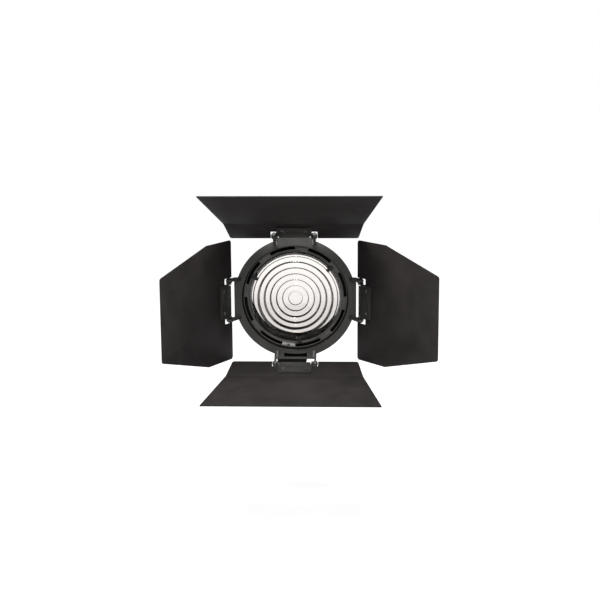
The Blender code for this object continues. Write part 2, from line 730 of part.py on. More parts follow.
def leaf_frame(side):
    """Local X along the hinge, local Y outward along the leaf, local Z to the beam side."""
    turn, tilt = SIDES[side]
    tip = math.radians(tilt)
    outward = Vector((math.cos(tip), -math.sin(tip), 0))
    across = Vector((0, 0, -1))
    beamward = across.cross(outward)
    pivot = Vector((PIVOT_RADIAL, -RING_FRONT - PIVOT_FORWARD, 0))
    base = Matrix((across, outward, beamward)).transposed().to_4x4()
    base = Matrix.Translation(pivot) @ base
    return Matrix.Rotation(-math.radians(turn), 4, "Y") @ base


def flat_leaf(side):
    bm = bmesh.new()
    slab(bm, side_leaf_outline(), [], -SHEET / 2, SHEET / 2, leaf_frame(side))
    return new_object("leaf_" + side, bm, "black_sheet")


def bent_leaf(side):
    """Leaf with one fold across it, so that its outer part leans over the beam."""
    left, right = notch_points(NOTCH_END_BOTTOM if side == "bottom" else NOTCH_END)
    bend = TOP_BEND
    inner = right[::-1] + [(TOP_HALF, LEAF_START), (TOP_BEND_HALF, bend)]
    inner += [(-TOP_BEND_HALF, bend), (-TOP_HALF, LEAF_START)] + left[::-1]
    radii = [0, 1.5, 1.5, 1.5, CORNER_R, 0, 0, CORNER_R, 1.5, 1.5, 1.5, 0]
    bm = bmesh.new()
    slab(bm, rounded(inner, radii), [], -SHEET / 2, SHEET / 2, leaf_frame(side))
    leaf = new_object("leaf_" + side, bm, "black_sheet")
    overlap = 0.8
    outer = [(-TOP_BEND_HALF, -overlap), (TOP_BEND_HALF, -overlap), (TOP_BEND_HALF, 0),
             (TOP_TIP_HALF, TOP_TIP), (-TOP_TIP_HALF, TOP_TIP), (-TOP_BEND_HALF, 0)]
    outer = rounded(outer, [0, 0, 0, 1.5, 1.5, 0])
    fold = Matrix.Translation((0, bend, 0)) @ Matrix.Rotation(TOP_BEND_ANGLE, 4, "X")
    part = bmesh.new()
    slab(part, outer, [], -SHEET / 2, SHEET / 2, leaf_frame(side) @ fold)
    boolean(leaf, part, "UNION", "outer_panel_" + side)
    return leaf


def bracket_screw_points():
    return [Vector((x, BRACKET_SCREW, 0)) for x in (-BRACKET_SCREW_HALF, BRACKET_SCREW_HALF)]


def leaf_bracket(side):
    """Sheet bracket on the leaf's beam side with an ear at each end for the pivots."""
    frame = leaf_frame(side)
    low = SHEET / 2 + GAP
    high = low + BRACKET_THICK
    ear_out = LEAF_EAR_IN + LEAF_EAR_THICK
    half = ear_out - 0.2
    plate = [
        (-half, BRACKET_START), (-BRACKET_LIP_HALF, BRACKET_START), (-BRACKET_LIP_HALF, BRACKET_LIP),
        (BRACKET_LIP_HALF, BRACKET_LIP), (BRACKET_LIP_HALF, BRACKET_START), (half, BRACKET_START),
        (half, BRACKET_END), (-half, BRACKET_END),
    ]
    bm = bmesh.new()
    slab(bm, rounded(plate, [0, 0, 0.8, 0.8, 0, 0, 2.0, 2.0]), [], low, high, frame)
    bracket = new_object("leaf_bracket_" + side, bm, "black_sheet")
    ear = arc(0, 0, 5.2, math.radians(90), math.radians(300), 8)
    ear += [(BRACKET_EAR_END - 1.0, -2.0), (BRACKET_EAR_END, 0.7), (BRACKET_EAR_END, high - 0.3),
            (BRACKET_START - 0.4, high - 0.3)]
    hole = [circle(0, 0, PIVOT_R + 0.4, 12)]
    across = Matrix(((0, 0, 1, 0), (1, 0, 0, 0), (0, 1, 0, 0), (0, 0, 0, 1)))
    ears = bmesh.new()
    for sign in (-1, 1):
        edges = sorted((sign * LEAF_EAR_IN, sign * ear_out))
        slab(ears, ear, hole, edges[0], edges[1], frame @ across)
    boolean(bracket, ears, "UNION", "bracket_ears_" + side)
    places = [frame @ p for p in bracket_screw_points()]
    inward = frame.to_3x3() @ Vector((0, 0, 1))
    boolean(bracket, rods(places, inward, 2.0, -1, 6), "DIFFERENCE", "bracket_holes_" + side)
    return bracket


def bracket_fasteners(side, leaf):
    frame = leaf_frame(side)
    inward = frame.to_3x3() @ Vector((0, 0, 1))
    places = [frame @ p for p in bracket_screw_points()]
    boolean(leaf, rods(places, inward, 2.0, -3, 3), "DIFFERENCE", "leaf_holes_" + side)
    head = SHEET / 2 + GAP + BRACKET_THICK
    tops = [p + inward * head for p in places]
    screws("bracket_screw_" + side, tops, inward, 1.5, head + SHEET / 2 + 1.6, 2.7, 1.5, "black_screw")


def pivots():
    """Shoulder screws of the eight hinge ears; they stay on the door ring."""
    for name, (turn, _) in SIDES.items():
        frame = hinge_frame(turn)
        centre = frame @ Vector((PIVOT_RADIAL, PIVOT_FORWARD, 0))
        for i, side in enumerate((-1, 1)):
            outward = (frame.to_3x3() @ Vector((0, 0, side))).normalized()
            head = [centre + outward * LUG_HALF]
            screws(f"pivot_screw_{name}_{i + 1}", head, outward, PIVOT_R, 8.5, 4.5, 2.6, "black_screw")


def build():
    remove_everything()
    mount_flange()
    bayonet_ring()
    rear_screws()
    barrel()
    barrel_stop_ring()
    zoom_ring()
    zoom_grip()
    lens_housing()
    carriage_tube()
    fresnel_lens()
    lens_bezel()
    lens_fasteners()
    door_ring_plate()
    guide_collar()
    ring_retainer()
    ring_lock()
    for side in SIDES:
        leaf = flat_leaf(side) if side in ("left", "right") else bent_leaf(side)
        leaf_bracket(side)
        bracket_fasteners(side, leaf)
    pivots()


build()
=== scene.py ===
import math

import bmesh
import bpy
from mathutils import Matrix, Vector


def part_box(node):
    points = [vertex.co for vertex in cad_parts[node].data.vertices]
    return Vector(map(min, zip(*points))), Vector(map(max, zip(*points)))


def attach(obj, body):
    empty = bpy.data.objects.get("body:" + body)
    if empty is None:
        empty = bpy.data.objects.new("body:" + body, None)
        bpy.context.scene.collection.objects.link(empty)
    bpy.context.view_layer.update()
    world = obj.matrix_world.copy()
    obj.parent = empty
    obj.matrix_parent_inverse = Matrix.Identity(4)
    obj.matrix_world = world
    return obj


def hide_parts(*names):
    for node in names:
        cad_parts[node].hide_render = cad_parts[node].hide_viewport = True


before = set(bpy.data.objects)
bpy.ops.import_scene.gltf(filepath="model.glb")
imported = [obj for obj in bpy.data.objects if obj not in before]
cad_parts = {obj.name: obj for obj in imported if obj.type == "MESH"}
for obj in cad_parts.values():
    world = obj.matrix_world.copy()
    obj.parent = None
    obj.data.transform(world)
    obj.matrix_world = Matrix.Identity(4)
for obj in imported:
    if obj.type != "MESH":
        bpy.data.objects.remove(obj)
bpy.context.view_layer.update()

# Sizes are in millimetres and "forward" means along -Y, the way the beam leaves.
MM = 0.001
RING_SEGMENTS = 192


def low(node):
    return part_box(node)[0] / MM


def high(node):
    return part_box(node)[1] / MM


def front_of(node):
    return -low(node).y


def rear_of(node):
    return -high(node).y


# places and sizes read from the frame
LENS_R = high("fresnel_lens").x
LENS_DROP = LENS_R - high("fresnel_lens").z
LENS_BACK = rear_of("fresnel_lens")
CELL_FRONT = front_of("lens_housing")
CARRIAGE_REAR = rear_of("carriage_tube")
COLLAR_R = high("guide_collar").x
RETAINER_FRONT = front_of("ring_retainer")
RETAINER_REAR = rear_of("ring_retainer")
FLANGE_R = high("mount_flange").x
FLANGE_THICK = front_of("mount_flange")

# sizes set here to match the frame
CELL_R = 88.0
BEZEL_FRONT = 64.0
BEZEL_BORE_R = 76.0
ZONE_OUT_R = 72.6
RING_R = 100.0
RING_BORE_R = 87.5
RING_FRONT = 74.0
RING_THICK = 3.0
LUG_HALF = 34.4
BOTTOM_LUG_R = 102.8
PIVOT_RADIAL = 106.0
PIVOT_FORWARD = 18.0
EAR_THICK = 3.0
EAR_END_R = 6.0
EAR_FOOT = 88.5
FOOT_END = 98.0
FOOT_HIGH = 8.0
EAR_SINK = -1.5
LEAF_EAR_IN = 28.7
LEAF_EAR_THICK = 1.8
SHEET = 1.2
LEAF_START = -5.5
NOTCH_IN = 28.0
NOTCH_OUT = 37.6
NOTCH_END = 14.0
NOTCH_END_BOTTOM = 8.5
TAB_START = 4.0
SIDE_HALF = 99.0
SIDE_SHOULDER = 60.8
SIDE_TIP_HALF = 65.7
SIDE_TIP = 180.3
FOLD_HALF = 111.6
FOLD_START_HALF = 103.4
FOLD_AT = 37.0
FOLD_TIP_HALF = 138.9
FOLD_TIP = 176.0
FOLD_ANGLE = math.radians(16.2)
BRACKET_END = 28.5
EAR_SHOULDER = 7.4
BRACKET_MIDDLE = 1.7
BRACKET_THICK = 1.6
BRACKET_SCREW = 18.0
BRACKET_SCREW_HALF = 18.5
PIN_FORWARD = 16.0
LENS_TRAVEL = 20.0
ZOOM_TURN = math.radians(100)
GLASS_INDEX = 1.52
STUD_X, STUD_FORWARD = -4.0, 61.0

# for each side, its turn about the beam axis and its leaf's tilt ahead of the ring, in degrees
SIDES = {"right": (0, 49.0), "top": (90, 48.2), "left": (180, 59.9), "bottom": (270, 70.2)}

# values that only the looks have; the two angles are in degrees
LENS_FOCUS = 128.0       # the frame's lens is cut for 160
CREST_R = 0.55           # rounding of the crest at each step of the lens
RISER_DRAFT = 0.36       # lean of each riser for every millimetre of its height
BLACKENED_RIM_R = 76.0   # the lens is painted black outside this radius
SMOOTH_ANGLE = 32
BEVEL_ANGLE = 40
FIRST_SPIN, NEXT_SPIN = 0.3, 1.7   # how the sockets of a row of screws stand
MOTTLE_SCALE = 28
GLOSS_SWING = 0.04
IMAGE_WIDTH = 600

BACKWARD = Vector((0, 1, 0))
FORWARD = Vector((0, -1, 0))
TO_FRONT = Matrix(((1, 0, 0, 0), (0, 0, -1, 0), (0, 1, 0, 0), (0, 0, 0, 1)))


# ------------------------------------------------------------------ materials

def shader_of(material):
    return material.node_tree.nodes["Principled BSDF"]


def link(material, a, b):
    material.node_tree.links.new(a, b)


def node(material, kind, **values):
    made = material.node_tree.nodes.new(kind)
    for name, value in values.items():
        if name in made.inputs:
            made.inputs[name].default_value = value
        else:
            setattr(made, name, value)
    return made


def noise(material, scale, detail, rough):
    """Noise in object space; scale counts cells in each metre."""
    place = node(material, "ShaderNodeTexCoord").outputs["Object"]
    made = node(material, "ShaderNodeTexNoise", Scale=scale, Detail=detail, Roughness=rough)
    link(material, place, made.inputs["Vector"])
    return made.outputs["Fac"]


def ramp(material, source, stops):
    made = node(material, "ShaderNodeValToRGB")
    elements = made.color_ramp.elements
    while len(elements) < len(stops):
        elements.new(0.5)
    for element, (place, colour) in zip(elements, stops):
        element.position = place
        element.color = (*colour, 1.0)
    link(material, source, made.inputs["Fac"])
    return made.outputs["Color"]


def remap(material, source, low_in, high_in, low_out, high_out):
    made = node(material, "ShaderNodeMapRange")
    for name, value in zip(("From Min", "From Max", "To Min", "To Max"),
                           (low_in, high_in, low_out, high_out)):
        made.inputs[name].default_value = value
    link(material, source, made.inputs["Value"])
    return made.outputs["Result"]


def coated(name, colour, roughness, specular, grain_scale, grain, mottle=0.25, metallic=0.0):
    """Fine-grained coating: mottled colour, uneven gloss and a grain in the surface."""
    material = bpy.data.materials.new(name)
    material.use_nodes = True
    shader = shader_of(material)
    shader.inputs["Metallic"].default_value = metallic
    shader.inputs["Specular IOR Level"].default_value = specular
    dark = tuple(c * (1 - mottle) for c in colour)
    light = tuple(c * (1 + mottle) for c in colour)
    broad = noise(material, MOTTLE_SCALE, 4.0, 0.6)
    link(material, ramp(material, broad, [(0.3, dark), (0.7, light)]), shader.inputs["Base Color"])
    fine = noise(material, grain_scale, 2.0, 0.55)
    gloss = remap(material, broad, 0.3, 0.7, roughness - GLOSS_SWING, roughness + GLOSS_SWING)
    link(material, gloss, shader.inputs["Roughness"])
    bump = node(material, "ShaderNodeBump", Strength=grain, Distance=0.0002)
    link(material, fine, bump.inputs["Height"])
    link(material, bump.outputs["Normal"], shader.inputs["Normal"])
    return material


def turned(name, colour, roughness):
    """Lathe-turned metal with fine rings round the beam axis."""
    material = coated(name, colour, roughness, 0.5, 900, 0.08, mottle=0.15, metallic=1.0)
    shader = shader_of(material)
    place = node(material, "ShaderNodeTexCoord").outputs["Object"]
    waves = node(material, "ShaderNodeTexWave", Scale=420.0, Distortion=0.6, Detail=1.0)
    waves.bands_direction = "Y"
    link(material, place, waves.inputs["Vector"])
    bump = node(material, "ShaderNodeBump", Strength=0.12, Distance=0.0001)
    link(material, waves.outputs["Fac"], bump.inputs["Height"])
    link(material, bump.outputs["Normal"], shader.inputs["Normal"])
    return material


def clear_glass():
    """Slightly warm glass with an even polish, so the uneven gloss is taken off again."""
    material = coated("lens_glass", (0.80, 0.765, 0.74), 0.0, 0.5, 300, 0.01, mottle=0.01)
    shader = shader_of(material)
    shader.inputs["Transmission Weight"].default_value = 1.0
    shader.inputs["IOR"].default_value = GLASS_INDEX
    for existing in list(shader.inputs["Roughness"].links):
        material.node_tree.links.remove(existing)
    shader.inputs["Roughness"].default_value = 0.0
    return material


# colour, roughness, specular level, grain cells in each metre and grain strength
COATINGS = {
    "leaf_paint": ((0.0098, 0.0083, 0.0080), 0.58, 0.15, 1500, 0.25),
    "bracket_paint": ((0.0112, 0.0107, 0.0098), 0.45, 0.26, 1300, 0.2),
    "cast_black": ((0.0250, 0.0242, 0.0221), 0.55, 0.35, 1100, 0.35),
    "moulded_black": ((0.058, 0.056, 0.052), 0.5, 0.4, 1800, 0.25),
    "inside_black": ((0.0035, 0.0035, 0.0033), 0.7, 0.1, 900, 0.3),
    # painted shade: far darker than the moulded block, so the window in the ring plate reads as deep
    # shade
    "painted_shade_black": ((0.0025, 0.0025, 0.0025), 0.75, 0.08, 1800, 0.2),
    "rubber_black": ((0.012, 0.012, 0.012), 0.8, 0.25, 700, 0.4),
    "black_screw": ((0.026, 0.025, 0.024), 0.28, 0.8, 1600, 0.15),
    "pivot_black": ((0.007, 0.0068, 0.0065), 0.55, 0.18, 1500, 0.15),
    "washer": ((0.014, 0.014, 0.014), 0.55, 0.25, 1500, 0.1),
}
MATERIALS = {name: coated(name, *values) for name, values in COATINGS.items()}
MATERIALS["anodised_black"] = turned("anodised_black", (0.035, 0.034, 0.034), 0.38)
MATERIALS["bright_steel"] = turned("bright_steel", (0.62, 0.60, 0.57), 0.32)
MATERIALS["lens_glass"] = clear_glass()


# ---------------------------------------------------------------- mesh helpers

def polar(r, angle, forward):
    return Vector((r * math.cos(angle), -forward, r * math.sin(angle)))


def spaced(count, first=0.0):
    return [math.radians(first) + math.tau * i / count for i in range(count)]


def circle(x, y, r, segments=32, start=0.0):
    angles = [start + math.tau * i / segments for i in range(segments)]
    return [(x + r * math.cos(a), y + r * math.sin(a)) for a in angles]


def arc(x, y, r, a0, a1, steps):
    angles = [a0 + (a1 - a0) * i / steps for i in range(steps + 1)]
    return [(x + r * math.cos(a), y + r * math.sin(a)) for a in angles]


def rectangle(r0, r1, t0, t1):
    return [(r0, t0), (r1, t0), (r1, t1), (r0, t1)]


def rounded(points, radii, steps):
    """Round the corners of an outline; one radius serves every corner."""
    if not isinstance(radii, (list, tuple)):
        radii = [radii] * len(points)
    result = []
    count = len(points)
    for i, (point, radius) in enumerate(zip(points, radii)):
        here = Vector(point)
        back = Vector(points[i - 1]) - here
        ahead = Vector(points[(i + 1) % count]) - here
        half = back.angle(ahead) / 2
        if radius <= 0 or half > math.pi / 2 - 0.02:
            result.append(tuple(here))
            continue
        radius = min(radius, min(back.length, ahead.length) * 0.45 * math.tan(half))
        back, ahead = back.normalized(), ahead.normalized()
        reach = radius / math.tan(half)
        centre = here + (back + ahead).normalized() * (radius / math.sin(half))
        start = here + back * reach - centre
        total = -start.angle_signed(here + ahead * reach - centre)
        for k in range(steps + 1):
            c, s = math.cos(total * k / steps), math.sin(total * k / steps)
            result.append((centre.x + start.x * c - start.y * s, centre.y + start.x * s + start.y * c))
    return result


def band(inner, outer, middle, span, corner, steps, corner_steps):
    """Outline of a piece of a flat ring about the beam axis, with rounded corners."""
    shape = arc(0, 0, outer, middle - span / 2, middle + span / 2, steps)
    shape += arc(0, 0, inner, middle + span / 2, middle - span / 2, steps)
    corners = (0, steps, steps + 1, 2 * steps + 1)
    radii = [corner if i in corners else 0.0 for i in range(len(shape))]
    return rounded(shape, radii, corner_steps)


def copy_into(bm, part):
    links = {v: bm.verts.new(v.co) for v in part.verts}
    for face in part.faces:
        bm.faces.new([links[v] for v in face.verts])


def slab(bm, outer, holes, bottom, top, matrix=None):
    """Extrude a flat outline with holes from bottom to top along local Z."""
    part = bmesh.new()
    edges = []
    for outline in [outer] + holes:
        verts = [part.verts.new((x, y, bottom)) for x, y in outline]
        edges += [part.edges.new((v, verts[(i + 1) % len(verts)])) for i, v in enumerate(verts)]
    bmesh.ops.triangle_fill(part, edges=edges, use_beauty=True, use_dissolve=False)
    grown = bmesh.ops.extrude_face_region(part, geom=list(part.faces))
    lifted = [item for item in grown["geom"] if isinstance(item, bmesh.types.BMVert)]
    bmesh.ops.translate(part, verts=lifted, vec=(0, 0, top - bottom))
    bmesh.ops.recalc_face_normals(part, faces=part.faces)
    if matrix:
        bmesh.ops.transform(part, matrix=matrix, verts=part.verts)
    copy_into(bm, part)
    part.free()


def revolve(bm, profile, segments=RING_SEGMENTS, start=0.0, span=math.tau):
    """Turn a closed (radius, forward) outline about the beam axis."""
    full = abs(span - math.tau) < 1e-9
    steps = segments if full else segments + 1
    loops = []
    for i in range(steps):
        angle = start + span * i / segments
        loops.append([bm.verts.new(polar(r, angle, t)) for r, t in profile])
    count = len(profile)
    for i in range(segments):
        here, there = loops[i], loops[(i + 1) % steps]
        for k in range(count):
            bm.faces.new((here[k], here[(k + 1) % count], there[(k + 1) % count], there[k]))
    if not full:
        bm.faces.new(loops[0])
        bm.faces.new(loops[-1])


def rod(bm, profile, matrix, segments=24):
    """Turn an open (radius, height) outline about local Z and close both ends."""
    part = bmesh.new()
    loops = [[part.verts.new((x, y, z)) for x, y in circle(0, 0, r, segments)] for r, z in profile]
    for lower, upper in zip(loops, loops[1:]):
        for i in range(segments):
            j = (i + 1) % segments
            part.faces.new((lower[i], lower[j], upper[j], upper[i]))
    part.faces.new(loops[0])
    part.faces.new(loops[-1])
    bmesh.ops.transform(part, matrix=matrix, verts=part.verts)
    copy_into(bm, part)
    part.free()


def facing(point, direction):
    turn = Vector((0, 0, 1)).rotation_difference(Vector(direction).normalized())
    return Matrix.Translation(point) @ turn.to_matrix().to_4x4()


def add_object(name, bm, matrix=None, angle=SMOOTH_ANGLE):
    if matrix:
        bmesh.ops.transform(bm, matrix=matrix, verts=bm.verts)
    bmesh.ops.scale(bm, vec=(MM, MM, MM), verts=bm.verts)
    bmesh.ops.recalc_face_normals(bm, faces=bm.faces)
    mesh = bpy.data.meshes.new(name)
    bm.to_mesh(mesh)
    bm.free()
    mesh.shade_smooth()
    mesh.set_sharp_from_angle(angle=math.radians(angle))
    made = bpy.data.objects.new(name, mesh)
    bpy.context.scene.collection.objects.link(made)
    return made


def apply_modifiers(piece):
    graph = bpy.context.evaluated_depsgraph_get()
    mesh = bpy.data.meshes.new_from_object(piece.evaluated_get(graph))
    piece.modifiers.clear()
    piece.data = mesh
    mesh.shade_smooth()
    mesh.set_sharp_from_angle(angle=math.radians(SMOOTH_ANGLE))


def cut(piece, tool_mesh, operation="DIFFERENCE"):
    """Apply a Boolean with a throw-away tool."""
    tool = add_object(piece.name + "_tool", tool_mesh)
    step = piece.modifiers.new("cut", "BOOLEAN")
    step.operation = operation
    step.solver = "EXACT"
    step.object = tool
    apply_modifiers(piece)
    bpy.data.objects.remove(tool, do_unlink=True)


def bevel(piece, width, segments=2):
    """Break the sharp edges, in millimetres."""
    step = piece.modifiers.new("edges", "BEVEL")
    step.width = width * MM
    step.segments = segments
    step.limit_method = "ANGLE"
    step.angle_limit = math.radians(BEVEL_ANGLE)
    step.harden_normals = False
    step.use_clamp_overlap = True
    apply_modifiers(piece)


def finish_piece(piece, body, slot, nodes=(), material=None):
    """Give a piece its material (the slot's unless another is named) and its body, and hide the nodes
    that it stands for.
    """
    piece.data.materials.clear()
    piece.data.materials.append(MATERIALS[material or slot])
    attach(piece, body)
    if nodes:
        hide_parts(*nodes)


def turned_piece(name, profile, body, slot, nodes=(), edge=0.4, material=None):
    bm = bmesh.new()
    revolve(bm, rounded(profile, edge, 3))
    finish_piece(add_object(name, bm), body, slot, nodes, material)


def pierced_piece(name, outer, hole, heights, plane, body, edge, material=None):
    """Washer or nut: an outline with a hole, between two heights of a plane."""
    bm = bmesh.new()
    slab(bm, outer, [hole], min(heights), max(heights), plane)
    piece = add_object(name, bm)
    bevel(piece, edge)
    finish_piece(piece, body, "black_screw", (), material)


# --------------------------------------------------------------------- screws

def screw_template(head_r, head, shank_r, shank, socket_r):
    """Pan head with a hexagon socket and a plain shank, head seat at z = 0."""
    dome = [(head_r, 0.0), (head_r, head * 0.45)]
    dome += [(head_r * math.cos(a), head * (0.45 + 0.55 * math.sin(a)))
             for a in (math.radians(d) for d in (20, 40, 55))]
    dome.append((socket_r * 1.25, head))
    profile = [(shank_r * 0.8, -shank), (shank_r, 0.4 - shank), (shank_r, 0.0)] + dome
    bm = bmesh.new()
    rod(bm, profile, Matrix.Identity(4), 28)
    piece = add_object("screw_template", bm)
    tool = bmesh.new()
    slab(tool, circle(0, 0, socket_r, 6), [], head * 0.35, head * 2)
    cut(piece, tool)
    mesh = piece.data
    bpy.data.objects.remove(piece, do_unlink=True)
    return mesh


def place_screws(name, template, places, direction, body, slot, nodes=(), material=None):
    """One object for each screw; node names pair with places when given."""
    for i, place in enumerate(places):
        spin = FIRST_SPIN + NEXT_SPIN * i
        matrix = facing(place * MM, direction) @ Matrix.Rotation(spin, 4, "Z")
        mesh = template.copy()
        mesh.transform(matrix)
        piece = bpy.data.objects.new(f"{name}_{i + 1}_look", mesh)
        bpy.context.scene.collection.objects.link(piece)
        finish_piece(piece, body, slot, nodes[i:i + 1], material)


# ----------------------------------------------------------- rear mount, barrel

def rear_mount():
    """Flange, bayonet ring, barrel with its straight slots, and stop ring."""
    body = "rear_mount"
    throat, recess, depth = 48.5, 60.0, 2.5
    barrel_screw_r, bayonet_screw_r = 67.0, 55.5
    bm = bmesh.new()
    outline = [(throat, depth), (recess, depth), (recess, 0), (FLANGE_R, 0),
               (FLANGE_R, FLANGE_THICK), (throat, FLANGE_THICK)]
    revolve(bm, rounded(outline, [0.3, 0.2, 0.4, 1.0, 0.5, 0.3], 3))
    flange = add_object("mount_flange_look", bm)
    barrel_screws = [polar(barrel_screw_r, a, 0) for a in spaced(4, 45)]
    bayonet_screws = [polar(bayonet_screw_r, a, 0) for a in spaced(3, 32)]
    wells = bmesh.new()
    for place in barrel_screws:
        rod(wells, [(3.8, -2.4), (3.8, 3.0)], facing(place, BACKWARD))
        rod(wells, [(2.0, -9.0), (2.0, -2.0)], facing(place, BACKWARD))
    cut(flange, wells)
    finish_piece(flange, body, "cast_black", ["mount_flange"])
    claw_r, claw_in, lip_r = 49.8, 47.4, 54.3
    claw_root, lip_front, claw_end = 1.5, -8.0, -10.5
    claw_span = math.radians(38)
    bm = bmesh.new()
    revolve(bm, rounded(rectangle(claw_r - 2.5, recess - 0.3, 0.1, depth - 0.3), 0.3, 2))
    hook = [(claw_in, claw_root), (claw_r, claw_root), (claw_r, lip_front), (lip_r, lip_front),
            (lip_r, claw_end), (claw_in, claw_end)]
    hook = rounded(hook, [0, 0, 0.6, 0.6, 1.0, 1.2], 3)
    for middle in spaced(3, 90):
        revolve(bm, hook, 16, middle - claw_span / 2, claw_span)
    ring = add_object("bayonet_ring_look", bm)
    finish_piece(ring, body, "bright_steel", ["bayonet_ring"])
    place_screws("bayonet_screw", SCREW_M3, bayonet_screws, BACKWARD, body, "bright_steel",
                 [f"bayonet_screw_{i}" for i in (1, 2, 3)])
    place_screws("barrel_screw", SCREW_M3, [p + FORWARD * 2.3 for p in barrel_screws], BACKWARD,
                 body, "black_screw", [f"barrel_screw_{i}" for i in (1, 2, 3, 4)])
    barrel_r, barrel_bore, barrel_front = 76.9, 74.3, 47.0
    barrel_throat, web_rear, web_front = 52.0, 5.3, 8.3
    bm = bmesh.new()
    outline = [(barrel_throat, web_rear), (barrel_r, web_rear), (barrel_r, barrel_front),
               (barrel_bore, barrel_front), (barrel_bore, web_front), (barrel_throat, web_front)]
    revolve(bm, rounded(outline, 0.4, 2))
    tube = add_object("barrel_look", bm)
    slot_half, quarter = 3.0, math.pi / 2
    slot_outline = arc(PIN_FORWARD + LENS_TRAVEL, 0, slot_half, -quarter, quarter, 8)
    slot_outline += arc(PIN_FORWARD, 0, slot_half, quarter, 3 * quarter, 8)
    along = Matrix(((0, -1, 0, 0), (-1, 0, 0, 0), (0, 0, 1, 0), (0, 0, 0, 1)))
    slots = bmesh.new()
    for angle in spaced(3, 90):
        slab(slots, slot_outline, [], 70, 90, Matrix.Rotation(quarter - angle, 4, "Y") @ along)
    cut(tube, slots)
    finish_piece(tube, body, "cast_black", ["barrel"])
    stop_rear, stop_front = 42.0, 46.0
    stop = rectangle(77.4, 81.5, stop_rear, stop_front)
    turned_piece("barrel_stop_ring_look", stop, body, "anodised_black", ["barrel_stop_ring"], 0.5)
    set_screws = bmesh.new()
    for angle in spaced(3, 30):
        middle = Vector((0, -(stop_rear + stop_front) / 2, 0))
        outward = facing(middle, polar(1, angle, 0))
        rod(set_screws, [(1.3, 78.0), (1.3, 81.2), (0.8, 81.2), (0.8, 80.2)], outward, 16)
    finish_piece(add_object("stop_ring_set_screws", set_screws), body, "black_screw")


def zoom_control():
    """Zoom ring with three helical cam slots, and its ribbed rubber grip."""
    body = "zoom_control"
    bm = bmesh.new()
    revolve(bm, rounded(rectangle(77.6, 80.2, 9.0, 41.5), 0.5, 3))
    ring = add_object("zoom_ring_look", bm)
    cams = bmesh.new()
    steps, half = 48, 3.1
    for angle in spaced(3, 90):
        loops = []
        for i in range(steps + 1):
            back = ZOOM_TURN * i / steps
            middle = PIN_FORWARD + LENS_TRAVEL * i / steps
            corners = rectangle(70, 90, middle - half, middle + half)
            loops.append([cams.verts.new(polar(r, angle - back, t)) for r, t in corners])
        for here, there in zip(loops, loops[1:]):
            for k in range(4):
                cams.faces.new((here[k], here[(k + 1) % 4], there[(k + 1) % 4], there[k]))
        cams.faces.new(loops[0])
        cams.faces.new(loops[-1])
    cut(ring, cams)
    finish_piece(ring, body, "anodised_black", ["zoom_ring"])
    bm = bmesh.new()
    ribs, detail = 60, 6
    inner, edge, shoulder, rib = 80.5, 81.2, 82.2, 83.3
    rear, front = 10.5, 39.5
    loops = []
    for i in range(ribs * detail):
        angle = math.tau * i / (ribs * detail)
        crest = 0.5 + 0.5 * math.cos(math.tau * i / detail)
        top = rib - 1.3 * (1 - crest) ** 1.5
        side = shoulder - 0.6 * (1 - crest)
        outer = [(top, rear + 0.9), (top, front - 0.9), (side, front - 0.2), (edge, front),
                 (inner, front), (inner, rear), (edge, rear), (side, rear + 0.2)]
        loops.append([bm.verts.new(polar(r, angle, t)) for r, t in outer])
    for i, here in enumerate(loops):
        there = loops[(i + 1) % len(loops)]
        for k in range(len(here)):
            j = (k + 1) % len(here)
            bm.faces.new((here[k], here[j], there[j], there[k]))
    finish_piece(add_object("zoom_grip_look", bm, angle=50), body, "rubber_black", ["zoom_grip"])


# ------------------------------------------------------------------ lens cell

def facet_slope(r):
    """Slope that turns a ray from the focus to run along the beam axis."""
    sine = math.sin(math.atan(r / LENS_FOCUS))
    return sine / (math.sqrt(GLASS_INDEX ** 2 - sine ** 2) - 1)


def lens_profile(base=4.0, centre=11.0, width=9.65, steps=7):
    """Stepped lens from its rim to its centre, each zone a smooth curve with a soft crest."""
    edges = [0.0, centre]
    while edges[-1] + width < ZONE_OUT_R:
        edges.append(edges[-1] + width)
    edges.append(ZONE_OUT_R)
    points = [(BLACKENED_RIM_R, LENS_BACK), (LENS_R, LENS_BACK), (LENS_R, LENS_BACK + base),
              (BLACKENED_RIM_R, LENS_BACK + base)]
    radii = [0.0] * len(points)
    for inner, outer in reversed(list(zip(edges, edges[1:]))):
        height, r = base, outer
        points.append((outer, LENS_BACK + height))
        radii.append(0.0)
        draft = 0.0
        if inner > 0:
            draft = RISER_DRAFT * (outer - inner) * facet_slope((inner + outer) / 2)
        for i in range(1, steps + 1):
            next_r = outer + (inner + draft - outer) * i / steps
            height += (r - next_r) * facet_slope((r + next_r) / 2)
            r = next_r
            points.append((r, LENS_BACK + height))
            radii.append(CREST_R if inner > 0 and i == steps else 0.0)
    return rounded(points, radii, 4)


